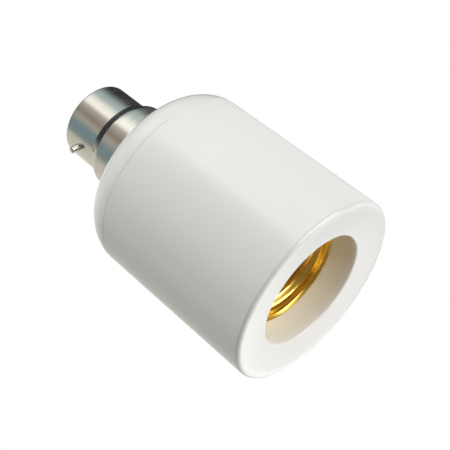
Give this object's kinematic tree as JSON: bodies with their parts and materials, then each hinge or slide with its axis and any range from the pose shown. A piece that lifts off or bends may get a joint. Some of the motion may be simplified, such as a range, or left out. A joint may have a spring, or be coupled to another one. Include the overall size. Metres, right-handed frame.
{
  "type": "remote control lamp holder",
  "caption": "Cylindrical lamp holder with a bayonet cap at the top, a screw lamp socket in its open lower end and a radio switch circuit inside.",
  "frame": {"origin": "centre of the mouth, on the axis, level with the flat ring round the dished face", "axes": "+Z along the axis from the mouth to the bayonet cap; the bayonet pins lie along X and the cap contacts along Y"},
  "size_m": [0.052, 0.052, 0.0845],
  "materials": {
    "body_plastic": "warm white moulded plastic, fine satin",
    "cap_nickel": "bright nickel plate",
    "pin_metal": "polished plated brass",
    "insulator_black": "black moulded insulator",
    "tinned_metal": "tinned contact",
    "shell_brass": "drawn bright brass",
    "base_plastic": "cream heat-proof moulding",
    "rivet_brass": "brass rivet",
    "spring_bronze": "spring bronze strip",
    "button_brass": "brass contact",
    "board_laminate": "green circuit laminate",
    "screw_steel": "zinc-plated steel",
    "relay_plastic": "dark blue moulded case",
    "film_plastic": "yellow moulded case",
    "can_sleeve": "black shrink sleeve",
    "diode_plastic": "black epoxy",
    "diode_glass": "amber glass sleeve",
    "fuse_coating": "grey-green cement coating",
    "resistor_coating": "tan lacquer",
    "aerial_sleeve": "white insulation",
    "live_sleeve": "brown insulation",
    "neutral_sleeve": "blue insulation"
  },
  "bodies": {
    "holder": {"housing_shell": "body_plastic", "rear_cover": "body_plastic", "bayonet_cap": "cap_nickel", "bayonet_pin_left": "pin_metal", "bayonet_pin_right": "pin_metal", "cap_insulator": "insulator_black", "cap_contact_live": "tinned_metal", "cap_contact_neutral": "tinned_metal", "screw_shell": "shell_brass", "socket_base": "base_plastic", "shell_rivets": "rivet_brass", "contact_leaf": "spring_bronze", "leaf_rivet": "rivet_brass", "circuit_board": "board_laminate", "base_screws": "screw_steel", "board_screws": "screw_steel", "relay": "relay_plastic", "film_capacitor": "film_plastic", "electrolytic_capacitor": "can_sleeve", "rectifier_diodes": "diode_plastic", "zener_diode": "diode_glass", "fuse_resistor": "fuse_coating", "resistors": "resistor_coating", "transistor": "diode_plastic", "receiver_board": "board_laminate", "decoder_chip": "diode_plastic", "aerial_wire": "aerial_sleeve", "live_lead": "live_sleeve", "neutral_lead": "neutral_sleeve"},
    "contact": {"contact_button": "button_brass"}
  },
  "joints": [
    {"name": "centre_contact", "type": "hinge", "parent": "holder", "child": "contact", "pos_m": [0, -0.0063, 0.0296], "axis": [1, 0, 0], "range_deg": [0, 9], "stiffness_Nm_per_rad": 0.18, "deforming": ["contact_leaf"]}
  ]
}
